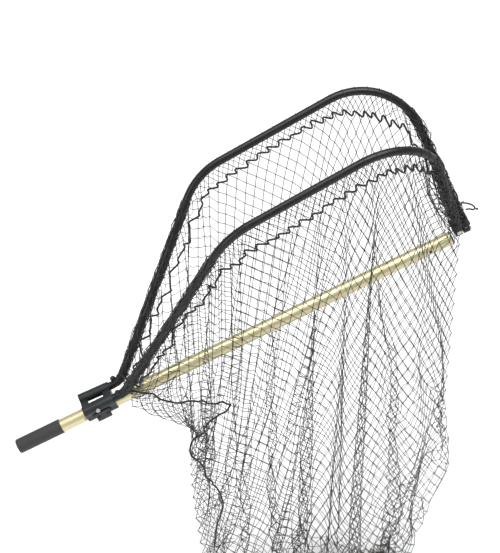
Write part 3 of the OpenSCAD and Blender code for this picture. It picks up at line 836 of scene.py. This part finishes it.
# %% [markdown]
# A real knot on the rim sits under the tube and not in the middle of it, and a
# slack bar droops between its knots. So each bar gets a middle point that falls
# by as much as its spare length allows, with a little sideways chance, and is
# drawn as twine of 1.4 mm with four sides. A knot is a small eight-sided bead:
# there are thousands, and each only has to catch the light.

# %% Make the two sides of the netting
KNOT_SIZE = 1.6 * MM
rng = np.random.default_rng(11)


def drooping(a, b):
    """Three points from a to b, the middle one fallen by the spare length."""
    size = np.linalg.norm(b - a, axis=1)
    along = (b - a) / (size[:, None] + 1e-12)
    fall = np.array([0, 0, -1.0]) + rng.normal(0, 0.45, a.shape)
    fall -= (fall * along).sum(1, keepdims=True) * along
    fall /= np.linalg.norm(fall, axis=1, keepdims=True) + 1e-12
    spare = 0.5 * np.sqrt(np.maximum(BAR ** 2 - size ** 2, 0))
    return np.stack([a, (a + b) / 2 + fall * np.minimum(spare, 0.3 * BAR)[:, None], b], 1)


def beads(centres, size):
    """Eight-sided beads, each turned by chance, in the form of round_lines."""
    count = len(centres)
    corners = np.array([(1, 0, 0), (-1, 0, 0), (0, 1, 0), (0, -1, 0),
                        (0, 0, 1), (0, 0, -1)])
    sides = np.array([(0, 2, 4), (2, 1, 4), (1, 3, 4), (3, 0, 4),
                      (2, 0, 5), (1, 2, 5), (3, 1, 5), (0, 3, 5)])
    turn = rng.uniform(0, math.pi, count)
    c, s = np.cos(turn)[:, None], np.sin(turn)[:, None]
    x, y, z = (corners * size).T
    spread = 1 + 0.25 * rng.random((count, 1))
    points = np.stack([c * x - s * y, s * x + c * y, z * spread], -1)
    points = points + centres[:, None]
    faces = sides[None] + 6 * np.arange(count)[:, None, None]
    empty = np.zeros((0, 4), int)
    return points.reshape(-1, 3), empty, faces.reshape(-1, 3), np.zeros((count * 24, 2))


def follows_hoop(piece, side):
    """Bakes the piece's transform into its mesh and returns it."""
    along = unit(TIP - HINGE[side])
    level = unit(np.cross(along, [0, 1.0, 0]))
    level = level if level[2] > 0 else -level
    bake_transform(piece)
    return piece


PANELS = ["arm", "rear_corner", "side", "front_corner", "front_shoulder", "front"]
netting = {}
for side in (NEAR, FAR):
    name = SIDE_NAME[side]
    mine = {i for key, i in knot_of.items() if key[0] == side}
    kept = np.array([i in mine and j in mine for i, j in bars])
    if side == FAR:                      # bars between two seam knots are drawn once
        kept &= ~(knot_shared[bars[:, 0]] & knot_shared[bars[:, 1]])
    a, b = knots[bars[kept, 0]], knots[bars[kept, 1]]
    spots = knots[sorted(i for i in mine if knot_row[i] > 0)]
    netting[side] = make_piece(name + "_netting", [
        round_lines(drooping(a, b), TWINE_D / 2, 4), beads(spots, KNOT_SIZE)])
    netting[side].data.materials.append(net_twine)
    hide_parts(*["net_" + name + "_" + p for p in PANELS])
    follows_hoop(netting[side], side)
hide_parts("net_rear_slope", "net_rear_wall", "net_bottom")

# %% [markdown]
# The seam at the rear is sewn with the edges of both sides turned in, so the
# netting beside it is double. The second layer is the same lattice, half a mesh
# to the side, over the first few columns.

# %% The double netting beside the rear seam
TURNED_IN = 3
INWARD = -1 * MM
SEAM_TWINE_D = 0.9 * MM


def half_mesh_on(side, rows, columns):
    """Bars of a second layer, half a mesh along, between these rows and columns."""
    starts, ends, spots = [], [], []

    def middle(row, column):
        i, j = knot_of.get((side, row, column)), knot_of.get((side, row, column + 1))
        return None if i is None or j is None else (knots[i] + knots[j]) / 2

    for row in rows:
        for column in range(columns):
            here = middle(row, column)
            if here is None:
                continue
            spots.append(here)
            for k in below(row, column):
                under = middle(*k)
                if under is not None:
                    starts.append(here)
                    ends.append(under)
    shift = np.array([0, side * INWARD, 0])
    return np.array(starts) + shift, np.array(ends) + shift, np.array(spots) + shift


double = []
for side in (NEAR, FAR):
    starts, ends, spots = half_mesh_on(side, range(4, MOST_ROWS), TURNED_IN)
    double += [round_lines(drooping(starts, ends), SEAM_TWINE_D / 2, 4),
               beads(spots, SEAM_TWINE_D)]
rear_double = make_piece("rear_seam_netting", double)
rear_double.data.materials.append(net_twine)
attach(rear_double, "head")

# %% [markdown]
# # The hem
#
# The top of the bag is doubled. A second layer of netting, half a mesh to the
# side, is folded over the tube and caught by a thicker rope that weaves through
# the third and fourth rows. The fold makes the band just under the tube look
# twice as dense, and the rope draws a zigzag along it.

# %% The hem's second layer and its rope
HEM_OUT = 2.5 * MM
HEM_ROWS = 3
HEM_TWINE_D = 1.1 * MM
ROPE_RISE = 0.14            # how far the rope sits up towards the tube


def knot_line(side, row):
    """The knots of a row in order, as points."""
    width = MESHES_ALONG + row % 2
    found = [knot_of.get((side, row, c)) for c in range(width)]
    return knots[[i for i in found if i is not None]]


def outwards(side, points, by):
    moved = np.array(points, float)
    moved[..., 1] += side * by
    return moved


for side in (NEAR, FAR):
    rows = []
    for row in range(HEM_ROWS):
        line = knot_line(side, row)
        middle = (line[1:] + line[:-1]) / 2
        rows.append(outwards(side, middle, HEM_OUT * (row > 0)))
    starts, ends = [], []
    for row in range(HEM_ROWS - 1):
        upper, lower = rows[row], rows[row + 1]
        for k, point in enumerate(upper):
            shift = (0, 1) if row % 2 == 0 else (-1, 0)
            for j in (k + s for s in shift):
                if 0 <= j < len(lower):
                    starts.append(point)
                    ends.append(lower[j])
    hem = make_piece(SIDE_NAME[side] + "_hem_netting", [
        round_lines(drooping(np.array(starts), np.array(ends)), HEM_TWINE_D / 2, 4),
        beads(np.concatenate(rows[1:]), HEM_TWINE_D)])
    hem.data.materials.append(net_twine)
    follows_hoop(hem, side)

    top, upper, lower = (knot_line(side, row) for row in (0, 2, 3))
    weave = []
    for k, (high, low) in enumerate(zip(upper, lower)):
        t = k / MESHES_ALONG
        to_rim = top[k] - low
        zigzag = (0.06 + 0.12 * t) * rng.uniform(0.5, 1.3)
        slow = ROPE_RISE + 0.20 * math.sin(9.0 * t + 1.5 + side) - 0.10 * t
        for point, way in ((low, -1), (high, 1)):
            weave.append((point + high + 2 * low) / 4
                         + to_rim * (slow + way * zigzag * 0.5))
    weave = outwards(side, weave, 2.0 * MM)
    weave[1:-1] += rng.normal(0, 0.0010, weave[1:-1].shape)
    rope = make_piece(SIDE_NAME[side] + "_hem_rope", [
        round_lines([smooth_line(weave)], ROPE_D / 2, 8)])
    rope.data.materials.append(hem_rope)
    follows_hoop(rope, side)

# %% [markdown]
# # Gathers on the tubes
#
# The hem is longer than the tube, so the spare netting is pushed along it and
# bunches up: all the way up the rising arms, and down both bows to the tip.
# There the tube is wrapped in crumpled meshes. They are made as strands that wind
# round the tube both ways, so that they cross in diamonds, at a distance that
# wanders. Along the straight rail only one turn of twine at each knot shows.

# %% Gathered netting and lacing round the tubes
GATHER_STEP = 0.005
ARM_GATHER = (0.088, 0.47)
BOW_GATHER_LENGTH = 0.26
LASHED_TO = {NEAR: 0.013, FAR: 0.0}        # the far lashing ends with its tube
rng = np.random.default_rng(29)


def around_tube(side, lengths, angles, radii):
    """Points at these lengths along a tube, angles round it and distances out."""
    spots = on_tube(side, lengths)
    along = on_tube(side, lengths + 0.002) - on_tube(side, lengths - 0.002)
    along /= np.linalg.norm(along, axis=-1, keepdims=True) + 1e-12
    normal = np.cross(hoop_axes(side)[0], hoop_axes(side)[1])
    sideways = np.cross(along, normal)
    return (spots + radii[..., None] * (np.cos(angles)[..., None] * normal
                                        + np.sin(angles)[..., None] * sideways))


def wander(count, size, smooth=5):
    """A random line that changes slowly, this big."""
    rough = rng.normal(0, 1, count + smooth)
    return size * np.convolve(rough, np.ones(smooth) / smooth ** 0.5, "valid")[:count]


def gather(side, start, end, strands, turns_each, loose):
    """Strands of crumpled netting that wind round a stretch of tube."""
    count = int((end - start) / GATHER_STEP) + 1
    lengths = np.linspace(start, end, count)
    runs = []
    for k in range(strands):
        way = 1 if k % 2 else -1
        angles = (2 * math.pi * (k / strands + way * turns_each * (lengths - start))
                  + wander(count, 0.35, 9))
        swell = np.clip((lengths - start) / 0.06, 0.15, 1)
        out = TUBE_R + 0.9 * MM + swell * np.abs(wander(count, loose))
        runs.append(around_tube(side, lengths + wander(count, 0.002), angles, out))
    return round_lines(runs, TWINE_D / 2, 5)


def lacing(side, lengths, clear=0.45 * MM):
    """One slanting turn of twine, this clear of the tube, at each of these lengths."""
    turn = np.linspace(0, 2 * math.pi, 17)
    lengths = np.asarray(lengths)[:, None] + 0.0015 * np.sin(turn + 0.6)[None]
    angles = np.broadcast_to(turn, lengths.shape)
    radii = np.full(lengths.shape, TUBE_R + clear)
    return round_lines(around_tube(side, lengths, angles, radii), TWINE_D / 2, 5)


for side in (NEAR, FAR):
    whole = TUBE_LINE[side][0][-1]
    bow = (whole - BOW_GATHER_LENGTH, whole - (0.012 if side == NEAR else 0.0))
    at_knots = [np.interp(fraction(0, c), *SPACING[side]) for c in range(MESHES_ALONG)]
    between = [s for s in at_knots if ARM_GATHER[1] < s < bow[0]]
    wraps = make_piece(SIDE_NAME[side] + "_gathers", [
        gather(side, *ARM_GATHER, 14, 4.0, 0.0011),
        gather(side, *bow, 20, 8.0, 0.0022),
        lacing(side, between),
        lacing(side, np.arange(0.076, 0.096, 0.0016)),
        lacing(side, whole - LASHED_TO[side] - np.arange(0, 0.018, 0.0015), 2.6 * MM)])
    # The gathers and lacing are the netting's own twine, and the darker copy on them is
    # painted shade.
    wraps.data.materials.append(shaded_netting_twine)
    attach(wraps, HOOP_BODY[side])

# %% [markdown]
# # The rear seam's cord
#
# A thicker cord closes the rear of the bag. It starts under the head, runs along
# the top of the slope, doubles back in a loose loop and then goes down the seam.
# It lies on the near side's netting and hangs from the head.

# %% The cord in the rear seam
SEAM_ROUTE_MM = [
    (163, -12, 87), (186, -14, 84), (217, -18, 78), (242, -22, 66), (257, -26, 56),
    (282, -32, 53), (308, -36, 56), (327, -40, 50), (349, -42, 47), (373, -45, 42),
    (377, -46, 30), (356, -46, 16), (340, -44, 5), (326, -42, -9), (320, -40, -30),
    (304, -38, -41), (298, -36, -59), (299, -36, -83), (311, -38, -102),
    (323, -40, -127), (328, -42, -148), (340, -44, -159), (352, -46, -184),
    (358, -40, -230), (350, -30, -290), (346, -20, -360)]
rng = np.random.default_rng(5)
seam_line = smooth_line([[MM * c for c in p] for p in SEAM_ROUTE_MM], 2)
seam_line[1:-1] += rng.normal(0, 0.0022, seam_line[1:-1].shape)    # kinks at the knots
seam_cord = make_piece("rear_seam_cord", [
    round_lines([smooth_line(seam_line)], ROPE_D / 2, 8)])
seam_cord.data.materials.append(hem_rope)
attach(seam_cord, "head")

# %% [markdown]
# Where the two arms leave the head, the ends of both hem ropes are tied to each
# other. The bridge hangs in a shallow curve just in front of the head, and it
# goes with the head when the hoops open.

# %% The tie between the arms' roots
ROOT_TIE_AT = 0.098
near_end = around_tube(NEAR, np.array([ROOT_TIE_AT]), np.array([0.0]),
                       np.array([TUBE_R + 1 * MM]))[0]
far_end = around_tube(FAR, np.array([ROOT_TIE_AT]), np.array([math.pi]),
                      np.array([TUBE_R + 1 * MM]))[0]
dip = (near_end + far_end) / 2 + np.array([0.006, 0, -0.004])
root_tie = make_piece("root_tie_cord", [
    round_lines([smooth_line([near_end, dip, far_end], 8)], ROPE_D / 2, 8)])
root_tie.data.materials.append(hem_rope)
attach(root_tie, "head")

# %% [markdown]
# # Floor and light
#
# The net floats over a plain, very pale floor, and large soft lights wrap round
# it: one wide panel overhead, a weaker one from the left, a sun as broad as a
# cloud, which lights the whole floor alike, and an even white sky.
# Soft light keeps thin twine from throwing hard stripes, and gives the round
# tubes one long highlight. The picture uses the plain Standard view, so white
# stays white.

# %% The floor
FLOOR_Z = -0.53
FLOOR_SIZE = 60.0
bpy.ops.object.select_all(action="DESELECT")
bpy.ops.mesh.primitive_plane_add(size=FLOOR_SIZE, location=(0.3, 2.0, FLOOR_Z))
floor = bpy.context.active_object
floor.name = "floor"
bpy.ops.object.transform_apply(location=True)
paper, paper_shader = new_material("floor_paper_white", {
    "Base Color": hex_colour("#FAFAFA"), "Roughness": 0.9, "Specular IOR Level": 0.1})
place = add(paper, "ShaderNodeTexCoord")
fibre = add(paper, "ShaderNodeTexNoise", inputs={
    "Vector": place.outputs["Object"], "Scale": 40.0, "Detail": 2.0})
pale = add(paper, "ShaderNodeMix", {"data_type": "RGBA"}, {
    MIX_FACTOR: fibre.outputs["Fac"], MIX_A: hex_colour("#F9F9F9"),
    MIX_B: hex_colour("#FCFCFC")})
feed(paper, paper_shader, Base_Color=pale.outputs[MIX_OUT])
floor.data.materials.append(paper)
floor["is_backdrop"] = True

# %% The lights
def soft_panel(name, at, towards, size, watts):
    light = bpy.data.lights.new(name, "AREA")
    light.shape, light.size, light.size_y, light.energy = "RECTANGLE", *size, watts
    lamp = bpy.data.objects.new(name, light)
    bpy.context.scene.collection.objects.link(lamp)
    lamp.location = at
    facing = Vector(towards) - Vector(at)
    lamp.rotation_euler = facing.to_track_quat("-Z", "Y").to_euler()


soft_panel("overhead_panel", (0.2, -0.4, 2.8), (0.4, 0, 0), (3.0, 2.0), 50)
soft_panel("left_panel", (-2.6, -1.6, 1.6), (0.4, 0, 0.1), (2.0, 2.0), 25)
sun = bpy.data.lights.new("soft_sun", "SUN")
sun.energy, sun.angle = 1.3, math.radians(50)
sun_lamp = bpy.data.objects.new("soft_sun", sun)
bpy.context.scene.collection.objects.link(sun_lamp)
sun_lamp.rotation_euler = Vector((-0.15, 0.3, -1)).to_track_quat("-Z", "Y").to_euler()
sky = bpy.data.worlds.new("sky")
bpy.context.scene.world = sky
sky.use_nodes = True
SKY_LIGHT, SKY_SEEN = 0.62, 1.0      # what lights the net, and what is seen of it
background = sky.node_tree.nodes["Background"]
background.inputs["Color"].default_value = (1, 1, 1, 1)
looked_at = add(sky, "ShaderNodeLightPath")
strength = add(sky, "ShaderNodeMapRange", inputs={
    "Value": looked_at.outputs["Is Camera Ray"], "To Min": SKY_LIGHT,
    "To Max": SKY_SEEN})
feed(sky, background, Strength=strength.outputs[0])
bpy.context.scene.view_settings.view_transform = "Standard"

# %% [markdown]
# Last, the size of the hard model and the size of the finished one are printed
# side by side. The netting may stand a few millimetres proud of the hard
# panels that it replaces, and no more.

# %% Write down the sizes and finish
bpy.context.view_layer.update()
boxes = {"cad": [list(v) for v in cad_box], "visual": [list(v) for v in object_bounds()]}
for name, box in boxes.items():
    print(name, "box", [[round(c, 4) for c in corner] for corner in box])
